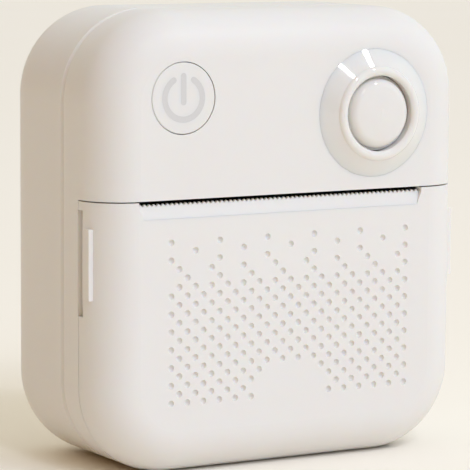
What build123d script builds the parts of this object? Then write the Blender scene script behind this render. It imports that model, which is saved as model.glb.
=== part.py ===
from build123d import *
from math import cos, pi, radians, sin
import os

# A portable label printer, in millimetres. X runs to the right across the front, Y runs from the
# front to the rear, Z is up. The origin is under the middle of the whole object, on its base.
# Depths are measured from the flat front face towards the rear, heights from the base.

# Paper and its roll, which set the size of the case
paper_width = 57.0
roll_radius = 15.0
core_outer_radius = 7.5
core_bore_radius = 6.25
roll_clearance = 0.4
bay_wall = 1.2
bay_front_room = 4.9
bay_lift = 4.9
bay_roof_rise = 0.4
bay_rear_clearance = 0.3
bay_front_cut = 11.0
paper_side_room = 11.5
guide_height = 4.0
mechanism_x = -1.1

# Outer case
corner_radius = 16.9
front_round = 8.4
rear_round = 9.7
wall = 2.0
shell_seam_depth = 15.3
seam_bevel = 0.7
lip_thickness = 0.9
lip_reach = 1.0
lip_boss_gap = 0.3

# Paper door, the lower half of the front
door_rise = 4.8
door_depth = 8.6
door_gap = 0.15
slot_opening = 0.25
door_lift = 0.3
door_opening = 70.0
hinge_depth = 5.2
hinge_height = 5.2
hinge_pin_radius = 0.75
hinge_arm_radius = 1.6
hinge_arm_width = 3.0
hinge_arm_side_room = 14.0
hinge_arm_back = 12.0
hinge_arm_leg = 1.5
hinge_arm_drop = 0.3
hinge_ear_width = 3.0
hinge_ear_reach = 2.0
hinge_side_gap = 0.3
hinge_sweep_gap = 0.25
hinge_notch_reach = 10.0
hinge_bore_clearance = 0.04
sweep_base_reach = 4.4
sweep_corner_reach = 11.7

# Finger lip and nail groove, the same on both sides of the door
lip_bar_front = 4.6
lip_bar_rear = 7.05
lip_bar_drop = 4.9
lip_bar_length = 13.2
lip_bar_height = 0.9
lip_bar_root = 0.5
groove_front = 7.1
groove_rear = 9.1
groove_drop = 1.6
groove_length = 19.8
groove_depth = 1.0

# Dimple pattern on the door
dimple_radius = 0.65
dimple_rise = 0.1
dimple_columns = 31
dimple_rows = 19
dimple_side_room = 14.28
dimple_shift = 0.45
dimple_drop = 7.64
dimple_bottom = 14.02

# Tear bar with its saw teeth, under the paper slot
slot_margin = 2.4
tear_bar_height = 2.35
tear_bar_drop = 3.2
tear_bar_slope = 0.85
tear_bar_thickness = 2.4
tear_end_slant = 1.0
tear_tooth_height = 0.45
tear_tooth_pitch = 0.96
tear_tooth_thickness = 0.6
tear_ledge_height = 1.2
tear_ledge_depth = 2.2
tear_ledge_inset = 1.0

# Buttons
button_wall_clearance = 0.3
power_side_room = 17.2
power_over_feed = 4.1
power_radius = 6.6
power_gap = 0.14
power_edge = 0.15
feed_side_room = 21.3
feed_rise = 5.0
feed_radius = 6.7
feed_gap = 0.3
feed_edge_round = 2.0
feed_edge_proud = 2.65
feed_crown_proud = 2.9
feed_skirt_clearance = 0.1
feed_skirt_face = 0.6
feed_skirt_thickness = 0.4
button_flange_overlap = 0.9
button_flange_thickness = 1.0
button_stem_radius = 1.5
power_travel = 0.5
feed_travel = 0.6
symbol_outer = 4.5
symbol_stroke = 1.15
symbol_gap_angle = 32.0
symbol_bar_top = 4.65
symbol_bar_bottom = -1.3
symbol_thickness = 0.15

# Glossy ring round the feed button
ring_outer = 12.2
ring_top_room = 7.8
ring_shoulder = 9.05
ring_shoulder_proud = 1.95
ring_crest = 8.1
ring_crest_proud = 2.6
ring_crest_round = 0.5
ring_bore = 7.2
ring_seat_depth = 0.5
ring_seat_clearance = 0.02

# Print mechanism, centred on the paper
platen_depth = 9.5
platen_rise = 4.4
platen_radius = 4.0
platen_overhang = 1.0
platen_edge = 0.3
shaft_radius = 1.25
bushing_radius = 2.5
bushing_bore_clearance = 0.03
bushing_notch_clearance = 0.05
door_arm_gap = 0.3
door_arm_thickness = 1.2
door_arm_margin = 1.0
plate_gap = 0.3
plate_thickness = 1.4
plate_front = 6.0
plate_rear_gap = 0.8
top_plate_rise = 13.2
top_plate_thickness = 1.4
top_window_half = 11.0
top_window_rear = 18.4
notch_flare = 2.0
notch_mouth = 0.3
lug_reach = 3.6
lug_height = 5.5
lug_depth = 8.0
lug_thickness = 1.4
lug_boss_radius = 1.45

# Thermal head over the platen, tilted down towards the rear
head_tilt = 12.0
nip_gap = 0.06
head_inset = 0.5
ceramic_front = -3.5
ceramic_rear = 4.3
ceramic_thickness = 1.0
sink_inset = 1.5
sink_front = -3.2
sink_rear = 4.8
sink_thickness = 3.0
pivot_back = 3.6
pivot_radius = 0.8
pivot_clearance = 0.05
spring_room = 4.5
spring_seat_radius = 2.2
spring_back = 0.7
spring_spacing = 32.0
spring_radius = 1.6
spring_wire = 0.35
spring_turns = 5

# Gear train on the right side plate
gear_module = 0.5
gear_backlash = 0.07
platen_teeth = 16
idler_small_teeth = 12
idler_large_teeth = 24
pinion_teeth = 10
gear_width = 1.6
gear_side_gap = 0.4
idler_direction = 3.4
pinion_direction = 35.0
axle_radius = 0.8
axle_clearance = 0.05
motor_length = 14.2
motor_shaft_radius = 0.75
motor_shaft_inset = 1.0
motor_edge = 0.5
motor_rear_gap = 1.35
motor_flange_thickness = 0.8
motor_flange_inset = 0.3
motor_ear_spread = 1.2
motor_ear_reach = 0.2
motor_ear_radius = 1.4
motor_ear_angle = -45.0

# Main board behind the buttons
board_depth = 8.2
board_thickness = 1.0
board_side_room = 9.5
board_rise = 1.4
board_top_room = 7.0
board_tab_room = 3.2
board_tab_height = 9.1
board_corner = 1.5
standoff_radius = 1.8
standoff_low_inset = 1.9
standoff_high_inset = 2.3
standoff_power_offset = 9.8
standoff_feed_offset = 10.1
standoff_corner_offset = 8.3
chip_side = 7.0
chip_thickness = 1.0
chip_shift = 1.4
chip_drop = 9.5
switch_size = 6.0
switch_height = 3.5
switch_plunger_radius = 1.7
switch_plunger_length = 2.2
switch_plunger_stand = 0.4
switch_bore_clearance = 0.1
usb_rise = 4.3
usb_width = 8.94
usb_thickness = 3.26
usb_shell_wall = 0.3
usb_back_wall = 1.2
usb_round_share = 0.38
usb_length = 7.35
usb_recess = 1.8
usb_tongue_width = 6.7
usb_tongue_thickness = 0.7
usb_hole_margin = 0.35

# Battery and its leads
battery_side_room = 15.0
battery_x = -1.0
battery_lift = 6.5
battery_top_room = 9.0
battery_thickness = 6.3
battery_wall_clearance = 0.3
battery_corner = 2.0
lead_radius = 0.5
lead_spacing = 1.4
lead_inset = 5.0
lead_top_room = 4.2
lead_bend = 2.6
battery_plug_height = 3.5
battery_plug_thickness = 3.0
battery_plug_inset = 1.5

# Ribbon from the head to the board
ribbon_width = 20.0
ribbon_thickness = 0.3
ribbon_room = 0.3
ribbon_bend = 0.45
ribbon_lean = 0.1
ribbon_exit_reach = 0.9
ribbon_grip = 1.5
socket_height = 1.4
socket_length = 3.0
socket_slot_length = 2.0
socket_side_wall = 1.0
ribbon_socket_rise = 3.7
ribbon_socket_size = 2.0

# Paper bay fittings
hub_clearance = 0.07
hub_reach = 3.0
hub_flange_radius = 8.2
hub_flange_thickness = 1.0
bay_mouth_back = 6.5
sensor_width = 4.0
sensor_height = 2.0
sensor_drop = 1.0
bay_lug_rise = 8.5
bay_lug_height = 6.0
bay_lug_back = 6.5
bay_lug_reach = 4.8
bay_lug_thickness = 1.4

# Door sensing
magnet_drop = 2.1
magnet_radius = 1.2
magnet_seat = 1.4
magnet_length = 1.8
sensor_thickness = 1.2
sensor_side = 2.4
sensor_rise = 0.2
sensor_inset = 0.6

# Screws
screw_radius = 1.0
screw_head_radius = 1.9
screw_head_height = 1.4
thread_clearance = 0.02
screw_hole_clearance = 0.15
boss_radius = 2.4
boss_corner_radius = 13.0
boss_corner_x = 10.8
shell_screw_seat = 20.0
shell_screw_bite = 3.2
small_screw_radius = 0.7
small_screw_head_radius = 1.3
small_screw_head_height = 0.7
board_screw_bite = 3.0
screw_hole_spare = 0.5

# Places that follow from the paper and its roll
half_paper = paper_width / 2
body_width = paper_width + 2 * paper_side_room
half_width = body_width / 2
cradle_radius = roll_radius + roll_clearance
cradle_outer = cradle_radius + bay_wall
roll_depth = bay_front_room + cradle_outer
roll_height = bay_lift + cradle_outer
bay_front = roll_depth - bay_front_cut
bay_rear = roll_depth + cradle_outer
body_depth = bay_rear + bay_rear_clearance + wall
bay_roof = roll_height + cradle_outer + bay_roof_rise
plate_low = bay_roof + guide_height
platen_height = plate_low + platen_rise
door_top = platen_height + door_rise
top_plate_low = platen_height + top_plate_rise
plate_top = top_plate_low + top_plate_thickness
feed_z = plate_top + feed_rise
power_z = feed_z + power_over_feed
body_height = feed_z + ring_outer + ring_top_room
front_y = feed_crown_proud / 2 - body_depth / 2
shell_bottom = door_top + slot_opening
power_x = power_side_room - half_width
feed_x = half_width - feed_side_room
hinge_arm_x = half_width - hinge_arm_side_room
slot_left = mechanism_x - half_paper - slot_margin
slot_right = mechanism_x + half_paper + slot_margin
tear_bar_low = door_top - tear_bar_drop
tear_bar_high = tear_bar_low + tear_bar_height
lip_bar_high = door_top - lip_bar_drop
lip_bar_low = lip_bar_high - lip_bar_length
groove_high = door_top - groove_drop
groove_low = groove_high - groove_length
dimple_top = door_top - dimple_drop
dimple_row_pitch = (dimple_top - dimple_bottom) / (dimple_rows - 1)
dimple_column_pitch = 2 * (half_width - dimple_side_room) / (dimple_columns - 1)

# Places in the mechanism
platen_y = front_y + platen_depth
platen_length = paper_width + 2 * platen_overhang
door_arm_inset = platen_length / 2 + door_arm_gap
plate_inset = door_arm_inset + door_arm_thickness + plate_gap
plate_span = plate_inset + plate_thickness
battery_depth = body_depth - wall - battery_wall_clearance - battery_thickness
plate_rear = battery_depth - plate_rear_gap
gear_layer_inner = mechanism_x + plate_span + gear_side_gap
gear_layer_outer = gear_layer_inner + gear_width + gear_side_gap
idler_distance = gear_module * (platen_teeth + idler_small_teeth) / 2
pinion_distance = gear_module * (idler_large_teeth + pinion_teeth) / 2
idler_depth = platen_depth + idler_distance * cos(radians(idler_direction))
idler_height = platen_height + idler_distance * sin(radians(idler_direction))
motor_depth = idler_depth + pinion_distance * cos(radians(pinion_direction))
motor_height = idler_height + pinion_distance * sin(radians(pinion_direction))
motor_radius = battery_depth - motor_depth - motor_rear_gap
motor_ear_distance = motor_ear_spread * motor_radius + motor_ear_reach
head_length = paper_width - 2 * head_inset
sink_length = 2 * (plate_inset - sink_inset)
head_face = platen_radius + nip_gap
sink_face = head_face + ceramic_thickness
sink_back = sink_face + sink_thickness
pivot_v = sink_face + sink_thickness / 2
tilt = radians(head_tilt)
pivot_depth = platen_depth + pivot_back * cos(tilt) + pivot_v * sin(tilt)
pivot_height = platen_height + pivot_v * cos(tilt) - pivot_back * sin(tilt)
spring_depth = platen_depth + spring_back
spring_seat_height = top_plate_low - spring_room

# Places on the board and in the bay
board_half_width = half_width - board_side_room
board_low = plate_top + board_rise
board_high = body_height - board_top_room
board_back = board_depth + board_thickness
board_tab_right = half_width - board_tab_room
board_tab_high = board_low + board_tab_height
switch_face = board_depth - switch_height
plunger_face = switch_face - switch_plunger_stand
usb_height = board_low + usb_rise
usb_mouth_x = half_width - usb_recess
battery_width = body_width - 2 * battery_side_room
battery_low = bay_roof + battery_lift
battery_top = body_height - battery_top_room
lead_x = battery_x + battery_width / 2 - lead_inset
lead_height = body_height - lead_top_room
bay_half = half_paper + roll_clearance
bay_left = mechanism_x - bay_half
bay_right = mechanism_x + bay_half
bay_mouth = platen_depth + bay_mouth_back
bay_lug_depth = roll_depth + bay_lug_back
bay_lug_low = roll_height + bay_lug_rise
lug_low = plate_top - lug_height


def front_at(depth):
    """Plane parallel to the front face, with x across and y up; its normal looks out of the front."""
    return Plane(origin=(0, front_y + depth, 0), x_dir=(1, 0, 0), z_dir=(0, -1, 0))


def side_at(x):
    """Plane across the width, with depth and height as its coordinates; its normal is +X."""
    return Plane(origin=(x, front_y, 0), x_dir=(0, 1, 0), z_dir=(1, 0, 0))


def head_at(x):
    """Tilted plane through the platen's axis: rearward along the head, then away from the platen."""
    rearward = (0, cos(tilt), -sin(tilt))
    return Plane(origin=(x, platen_y, platen_height), x_dir=rearward, z_dir=(1, 0, 0))


def body_form(inset):
    """The whole case as a solid block, drawn in by an inset on every side."""
    with BuildPart() as form:
        with BuildSketch(front_at(inset)):
            with Locations((0, body_height / 2)):
                RectangleRounded(body_width - 2 * inset, body_height - 2 * inset, corner_radius - inset)
        extrude(amount=-(body_depth - 2 * inset))
        fillet(form.faces().sort_by(Axis.Y)[0].edges(), front_round - inset)
        fillet(form.faces().sort_by(Axis.Y)[-1].edges(), rear_round - inset)
    return form.part


def side_box(x_low, x_high, depth_low, depth_high, z_low, z_high, mode=Mode.ADD):
    """A square block given by its limits across, in depth and in height."""
    with BuildSketch(side_at(x_low)) as section:
        with Locations(((depth_low + depth_high) / 2, (z_low + z_high) / 2)):
            Rectangle(depth_high - depth_low, z_high - z_low)
    extrude(section.sketch, amount=x_high - x_low, mode=mode)


def front_disc(x, z, radius, depth_low, depth_high, mode=Mode.ADD):
    """A round post or hole square to the front face, between two depths."""
    with BuildSketch(front_at(depth_low)) as section:
        with Locations((x, z)):
            Circle(radius)
    extrude(section.sketch, amount=-(depth_high - depth_low), mode=mode)


def side_disc(depth, z, radius, x_low, x_high, mode=Mode.ADD):
    """A round bar or hole along X, between two places across."""
    with BuildSketch(side_at(x_low)) as section:
        with Locations((depth, z)):
            Circle(radius)
    extrude(section.sketch, amount=x_high - x_low, mode=mode)


def finish(builder, name):
    """Label a finished piece and write it."""
    builder.part.label = name
    export_step(builder.part, f"parts/{name}.step")


os.makedirs("parts", exist_ok=True)
outer_form = body_form(0)
inner_form = body_form(wall)
boss_form = body_form(wall / 2)
lip_form = body_form(wall + lip_thickness)
sides = (-1, 1)

# Screw places: four through the corners of the case, four on the board, two lugs on the mechanism
corner_centre_x = half_width - corner_radius
boss_rise = (boss_corner_radius**2 - boss_corner_x**2) ** 0.5
boss_low = corner_radius - boss_rise
boss_x = corner_centre_x + boss_corner_x
shell_screw_places = [(s * boss_x, z) for s in sides for z in (boss_low, body_height - boss_low)]
standoff_low = board_low + standoff_low_inset
standoff_high = board_high - standoff_high_inset
board_screw_places = [
    (power_x + standoff_power_offset, standoff_low),
    (power_x + standoff_power_offset, standoff_high),
    (feed_x - standoff_feed_offset, standoff_low),
    (feed_x + standoff_corner_offset, standoff_high),
]
lug_middle = plate_span + lug_reach / 2
lug_screw_z = (lug_low + top_plate_low) / 2
lug_screw_places = [(mechanism_x + s * lug_middle, lug_screw_z) for s in sides]
bay_lug_middle = bay_half + bay_wall + bay_lug_reach / 2
bay_screw_z = bay_lug_low + bay_lug_height / 2
bay_screw_places = [(mechanism_x + s * bay_lug_middle, bay_screw_z) for s in sides]


def dimple_here(column, row):
    """Whether the staggered field has a dimple at this half column and half row."""
    from_middle = abs(column - dimple_columns // 2)
    if row in (0, 2):
        return column % 6 == 0
    if row == 1:
        return column % 6 == 3
    if row == 3:
        return column % 4 == 1
    if row == 4:
        return column % 4 == 2
    cut_out = {15: 2, 16: 3, 17: 4, 18: 3}
    return (column + row) % 2 == 0 and from_middle > cut_out.get(row, -1)


dimple_left = dimple_shift - dimple_column_pitch * (dimple_columns - 1) / 2
dimple_places = [
    (dimple_left + column * dimple_column_pitch, front_y - dimple_rise, dimple_top - row * dimple_row_pitch)
    for row in range(dimple_rows)
    for column in range(dimple_columns)
    if dimple_here(column, row)
]

# Rear shell, with four screw columns and two posts for the paper bay
with BuildPart() as rear_posts:
    for x, z in shell_screw_places:
        front_disc(x, z, boss_radius, shell_seam_depth, body_depth)
    for x, z in bay_screw_places:
        front_disc(x, z, boss_radius, bay_lug_depth + bay_lug_thickness, body_depth)
    add(boss_form, mode=Mode.INTERSECT)

with BuildPart() as rear_shell:
    add(outer_form)
    add(inner_form, mode=Mode.SUBTRACT)
    split(bisect_by=front_at(shell_seam_depth), keep=Keep.BOTTOM)
    chamfer(rear_shell.faces().sort_by(Axis.Y)[0].outer_wire().edges(), seam_bevel)
    add(rear_posts.part)
    for x, z in shell_screw_places:
        front_disc(x, z, screw_head_radius + screw_hole_clearance, shell_screw_seat, body_depth, Mode.SUBTRACT)
        front_disc(x, z, screw_radius + screw_hole_clearance, shell_seam_depth, shell_screw_seat, Mode.SUBTRACT)
    for x, z in bay_screw_places:
        hole_end = bay_lug_depth + bay_lug_thickness + board_screw_bite + screw_hole_spare
        front_disc(x, z, small_screw_radius + thread_clearance, bay_lug_depth, hole_end, Mode.SUBTRACT)
finish(rear_shell, "rear_shell")

# Front shell: the whole upper front, and a frame round the door's sides and bottom
with BuildPart() as front_posts:
    for x, z in shell_screw_places:
        front_disc(x, z, boss_radius, 0 if z > door_top else hinge_arm_back, shell_seam_depth)
    for x, z in board_screw_places:
        front_disc(x, z, standoff_radius, 0, board_depth)
    for x, z in lug_screw_places:
        front_disc(x, z, lug_boss_radius, 0, lug_depth)
    add(boss_form, mode=Mode.INTERSECT)

with BuildPart() as shell_lip:
    add(inner_form)
    add(lip_form, mode=Mode.SUBTRACT)
    lip_start = shell_seam_depth - 2 * lip_reach
    side_box(-half_width, half_width, lip_start, shell_seam_depth + lip_reach, 0, body_height, Mode.INTERSECT)
    for x, z in shell_screw_places:
        front_disc(x, z, boss_radius + lip_boss_gap, shell_seam_depth, shell_seam_depth + lip_reach, Mode.SUBTRACT)

# How far the door's rear bottom edge turns from the hinge: along the straight base, and at its corners
hinge_sweep = ((door_depth - hinge_depth) ** 2 + (hinge_height - door_lift) ** 2) ** 0.5 + hinge_sweep_gap
corner_sweep = door_depth - hinge_depth + hinge_sweep_gap
sweep_base_x = corner_centre_x + sweep_base_reach
sweep_corner_x = corner_centre_x + sweep_corner_reach
arm_top = hinge_height + hinge_arm_radius - hinge_arm_drop
arm_bottom = hinge_height - hinge_arm_drop

with BuildPart() as front_shell:
    add(outer_form)
    add(inner_form, mode=Mode.SUBTRACT)
    split(bisect_by=front_at(shell_seam_depth), keep=Keep.TOP)
    chamfer(front_shell.faces().sort_by(Axis.Y)[-1].outer_wire().edges(), seam_bevel)
    side_box(-half_width, half_width, -1, door_depth + door_gap, -1, shell_bottom, Mode.SUBTRACT)
    # Room for the door's bottom edge to turn
    sweep_plane = Plane(origin=(0, front_y + hinge_depth, hinge_height), x_dir=(1, 0, 0), z_dir=(0, 0, 1))
    with BuildSketch(sweep_plane):
        Polygon(
            (-sweep_corner_x, 0),
            (sweep_corner_x, 0),
            (sweep_corner_x, corner_sweep),
            (sweep_base_x, hinge_sweep),
            (-sweep_base_x, hinge_sweep),
            (-sweep_corner_x, corner_sweep),
            align=None,
        )
    revolve(axis=Axis(sweep_plane.origin, (1, 0, 0)), mode=Mode.SUBTRACT)
    add(front_posts.part)
    add(shell_lip.part)
    # Hinge arms reach forward from the bottom wall to the door's pins
    for s in sides:
        arm_x = s * hinge_arm_x - hinge_arm_width / 2
        with BuildSketch(side_at(arm_x)) as arm:
            with Locations((hinge_depth, hinge_height)):
                Circle(hinge_arm_radius)
            with BuildLine():
                Polyline(
                    (hinge_depth, arm_top),
                    (hinge_arm_back, arm_top),
                    (hinge_arm_back, wall / 2),
                    (hinge_arm_back - hinge_arm_leg, wall / 2),
                    (hinge_arm_back - hinge_arm_leg, arm_bottom),
                    (hinge_depth, arm_bottom),
                    close=True,
                )
            make_face()
        extrude(amount=hinge_arm_width)
        side_disc(
            hinge_depth,
            hinge_height,
            hinge_pin_radius + hinge_bore_clearance,
            arm_x - 1,
            arm_x + hinge_arm_width + 1,
            Mode.SUBTRACT,
        )
    # Holes for the two buttons, the ring's seat and the charging port
    front_disc(power_x, power_z, power_radius + power_gap, -1, board_depth, Mode.SUBTRACT)
    front_disc(feed_x, feed_z, feed_radius + feed_gap, -1, board_depth, Mode.SUBTRACT)
    front_disc(feed_x, feed_z, ring_outer + ring_seat_clearance, -1, ring_seat_depth, Mode.SUBTRACT)
    with BuildSketch(side_at(half_width - 2 * wall)):
        with Locations((board_depth + board_thickness + usb_thickness / 2, usb_height)):
            SlotOverall(usb_width + 2 * usb_hole_margin, usb_thickness + 2 * usb_hole_margin, rotation=90)
    extrude(amount=3 * wall, mode=Mode.SUBTRACT)
    for x, z in shell_screw_places:
        hole_start = shell_seam_depth - shell_screw_bite - screw_hole_spare
        front_disc(x, z, screw_radius + thread_clearance, hole_start, shell_seam_depth + 1, Mode.SUBTRACT)
    for x, z in board_screw_places:
        hole_start = board_depth - board_screw_bite - screw_hole_spare
        front_disc(x, z, small_screw_radius + thread_clearance, hole_start, board_depth + 1, Mode.SUBTRACT)
    for x, z in lug_screw_places:
        hole_start = lug_depth - board_screw_bite - screw_hole_spare
        front_disc(x, z, small_screw_radius + thread_clearance, hole_start, lug_depth + 1, Mode.SUBTRACT)
    # The rear edge of the nail grooves
    for x_low in (-half_width - 1, half_width - groove_depth):
        side_box(x_low, x_low + groove_depth + 1, door_depth, groove_rear, groove_low, groove_high, Mode.SUBTRACT)
finish(front_shell, "front_shell")

# Paper door with its hinge ears, platen arms, finger lips, nail grooves and dimples
magnet_x = mechanism_x - plate_inset
magnet_z = plate_low - magnet_drop
arm_low = platen_height - bushing_radius - door_arm_margin
arm_high = platen_height + bushing_radius + door_arm_margin
arm_rear = platen_depth + bushing_radius + door_arm_margin
ear_limit = hinge_depth + hinge_ear_reach
pin_half = hinge_arm_width / 2 + hinge_side_gap + hinge_ear_width

with BuildPart() as door_ears:
    for s in sides:
        for t in sides:
            ear_offset = hinge_arm_width / 2 + hinge_side_gap + hinge_ear_width / 2
            ear_x = s * hinge_arm_x + t * ear_offset - hinge_ear_width / 2
            side_box(ear_x, ear_x + hinge_ear_width, 0, ear_limit, door_lift, ear_limit)
    add(boss_form, mode=Mode.INTERSECT)

# The slot's outline, whose ends slant in to the bottom of the tear bar
with BuildSketch(front_at(-1)) as tear_outline:
    Polygon(
        (slot_left + tear_end_slant, tear_bar_low),
        (slot_right - tear_end_slant, tear_bar_low),
        (slot_right, tear_bar_high),
        (slot_right, door_top + 1),
        (slot_left, door_top + 1),
        (slot_left, tear_bar_high),
        align=None,
    )

with BuildPart() as paper_door:
    add(outer_form)
    add(inner_form, mode=Mode.SUBTRACT)
    side_box(-half_width, half_width, -1, door_depth, door_lift, door_top, Mode.INTERSECT)
    add(door_ears.part)
    # Arms that carry the platen, and the ledge behind the tear bar
    for s in sides:
        arm_x = mechanism_x + s * (door_arm_inset + door_arm_thickness / 2) - door_arm_thickness / 2
        side_box(arm_x, arm_x + door_arm_thickness, wall / 2, arm_rear, arm_low, arm_high)
    arm_span = door_arm_inset + door_arm_thickness
    side_disc(
        platen_depth,
        platen_height,
        bushing_radius,
        mechanism_x - arm_span,
        mechanism_x + arm_span,
        Mode.SUBTRACT,
    )
    front_disc(magnet_x, magnet_z, magnet_radius, magnet_seat, door_depth, Mode.SUBTRACT)
    ledge_low = tear_bar_low - tear_ledge_height
    ledge_half = platen_length / 2 - tear_ledge_inset
    side_box(
        mechanism_x - ledge_half,
        mechanism_x + ledge_half,
        wall / 2,
        wall + tear_ledge_depth,
        ledge_low,
        tear_bar_low,
    )
    extrude(tear_outline.sketch, amount=-(1 + tear_bar_thickness), mode=Mode.SUBTRACT)
    for s in sides:
        notch_half = hinge_arm_width / 2 + hinge_side_gap
        notch_x = s * hinge_arm_x
        # The notch's front edge stops the door on the arm's underside when it is fully open
        with BuildSketch(side_at(notch_x - notch_half)):
            with Locations((hinge_depth, hinge_height)):
                Circle(hinge_arm_radius + hinge_sweep_gap)
                open_angle = radians(door_opening)
                stop_offset = hinge_arm_drop + hinge_sweep_gap
                stop_start = (-stop_offset * sin(open_angle), -stop_offset * cos(open_angle))
                stop_end = (
                    stop_start[0] + hinge_notch_reach * cos(open_angle),
                    stop_start[1] - hinge_notch_reach * sin(open_angle),
                )
                Polygon(
                    stop_start,
                    stop_end,
                    (hinge_notch_reach, stop_end[1]),
                    (hinge_notch_reach, hinge_arm_radius),
                    (0, hinge_arm_radius),
                    align=None,
                )
        extrude(amount=2 * notch_half, mode=Mode.SUBTRACT)
        side_disc(
            hinge_depth,
            hinge_height,
            hinge_pin_radius,
            notch_x - pin_half,
            notch_x + pin_half,
            Mode.SUBTRACT,
        )
    # Finger lips stand at the full width, with a flat cut in front of them
    lip_skin = half_width - lip_bar_height
    for x_low in (-half_width - 1, lip_skin):
        x_high = x_low + lip_bar_height + 1
        side_box(x_low, x_high, -1, lip_bar_front, lip_bar_low, lip_bar_high, Mode.SUBTRACT)
    for x_low in (-half_width, lip_skin - lip_bar_root):
        x_high = x_low + lip_bar_height + lip_bar_root
        side_box(x_low, x_high, lip_bar_front, lip_bar_rear, lip_bar_low, lip_bar_high)
    for x_low in (-half_width - 1, half_width - groove_depth):
        x_high = x_low + groove_depth + 1
        side_box(x_low, x_high, groove_front, door_depth + 1, groove_low, groove_high, Mode.SUBTRACT)
    with Locations(*dimple_places):
        Sphere(dimple_radius, mode=Mode.SUBTRACT)
finish(paper_door, "paper_door")

# Tear bar with one row of saw teeth
with BuildPart() as tear_bar:
    with BuildSketch(side_at(slot_left)):
        with BuildLine():
            Polyline(
                (0, tear_bar_low),
                (tear_bar_slope, tear_bar_high),
                (tear_bar_thickness, tear_bar_high),
                (tear_bar_thickness, tear_bar_low),
                close=True,
            )
        make_face()
    extrude(amount=slot_right - slot_left)
    extrude(tear_outline.sketch, amount=-(1 + tear_bar_thickness), mode=Mode.INTERSECT)
    tooth_count = int((slot_right - slot_left) / tear_tooth_pitch)
    with BuildSketch(front_at(tear_bar_slope)):
        with Locations(((slot_left + slot_right) / 2, tear_bar_high)):
            with GridLocations(tear_tooth_pitch, 0, tooth_count, 1):
                Polygon(
                    (-tear_tooth_pitch / 2, 0),
                    (tear_tooth_pitch / 2, 0),
                    (0, tear_tooth_height),
                    align=None,
                )
    extrude(amount=-tear_tooth_thickness)
finish(tear_bar, "tear_bar")

# Hinge pins, one at each arm
with BuildPart() as hinge_pins:
    for s in sides:
        pin_x = s * hinge_arm_x
        side_disc(hinge_depth, hinge_height, hinge_pin_radius, pin_x - pin_half, pin_x + pin_half)
finish(hinge_pins, "hinge_pins")

# Glossy ring round the feed button
with BuildPart() as button_ring:
    with BuildSketch(side_at(feed_x)) as ring_section:
        with BuildLine():
            Polyline(
                (-ring_crest_proud + ring_crest_round, feed_z + ring_bore),
                (ring_seat_depth, feed_z + ring_bore),
                (ring_seat_depth, feed_z + ring_outer),
                (0, feed_z + ring_outer),
                (-ring_shoulder_proud, feed_z + ring_shoulder),
            )
            ThreePointArc(
                (-ring_shoulder_proud, feed_z + ring_shoulder),
                (-ring_crest_proud, feed_z + ring_crest),
                (-ring_crest_proud + ring_crest_round, feed_z + ring_bore),
            )
        make_face()
    revolve(axis=Axis((feed_x, 0, feed_z), (0, 1, 0)))
finish(button_ring, "button_ring")

# Feed button, domed, in the ring
with BuildPart() as feed_button:
    flange_face = wall + button_wall_clearance
    flange_back = flange_face + button_flange_thickness
    flange_radius = feed_radius + feed_gap + button_flange_overlap
    # A skirt in front of the shell closes the gap round the dome
    skirt_radius = ring_bore - feed_skirt_clearance
    skirt_back = feed_skirt_face - feed_skirt_thickness
    with BuildSketch(side_at(feed_x)):
        with BuildLine():
            Polyline(
                (-feed_crown_proud, feed_z),
                (plunger_face, feed_z),
                (plunger_face, feed_z + button_stem_radius),
                (flange_back, feed_z + button_stem_radius),
                (flange_back, feed_z + flange_radius),
                (flange_face, feed_z + flange_radius),
                (flange_face, feed_z + feed_radius),
                (-skirt_back, feed_z + feed_radius),
                (-skirt_back, feed_z + skirt_radius),
                (-feed_skirt_face, feed_z + skirt_radius),
                (-feed_skirt_face, feed_z + feed_radius),
                (-feed_edge_proud + feed_edge_round, feed_z + feed_radius),
            )
            round_cut = feed_edge_round * (1 - cos(radians(45)))
            ThreePointArc(
                (-feed_edge_proud + feed_edge_round, feed_z + feed_radius),
                (-feed_edge_proud + round_cut, feed_z + feed_radius - round_cut),
                (-feed_edge_proud, feed_z + feed_radius - feed_edge_round),
            )
            crown_rise = feed_crown_proud - feed_edge_proud
            crown_reach = feed_radius - feed_edge_round
            crown_radius = (crown_reach**2 + crown_rise**2) / (2 * crown_rise)
            crown_middle = crown_radius - (crown_radius**2 - crown_reach**2 / 4) ** 0.5
            ThreePointArc(
                (-feed_edge_proud, feed_z + crown_reach),
                (-feed_crown_proud + crown_middle, feed_z + crown_reach / 2),
                (-feed_crown_proud, feed_z),
            )
        make_face()
    revolve(axis=Axis((feed_x, 0, feed_z), (0, 1, 0)))
finish(feed_button, "feed_button")


# Power button, flush with the front, and the symbol let into its face
symbol_middle = symbol_outer - symbol_stroke / 2
with BuildPart() as power_symbol:
    with BuildSketch(front_at(0)):
        with Locations((power_x, power_z)):
            Circle(symbol_outer)
            Circle(symbol_outer - symbol_stroke, mode=Mode.SUBTRACT)
            gap_reach = symbol_outer * 2
            gap_half = gap_reach * sin(radians(symbol_gap_angle))
            gap_top = gap_reach * cos(radians(symbol_gap_angle))
            Polygon((0, 0), (gap_half, gap_top), (-gap_half, gap_top), align=None, mode=Mode.SUBTRACT)
        for s in sides:
            end_x = power_x + s * symbol_middle * sin(radians(symbol_gap_angle))
            end_z = power_z + symbol_middle * cos(radians(symbol_gap_angle))
            with Locations((end_x, end_z)):
                Circle(symbol_stroke / 2)
        bar_length = symbol_bar_top - symbol_bar_bottom
        with Locations((power_x, power_z + (symbol_bar_top + symbol_bar_bottom) / 2)):
            SlotOverall(bar_length, symbol_stroke, rotation=90)
    extrude(amount=-symbol_thickness)
finish(power_symbol, "power_symbol")

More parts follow.
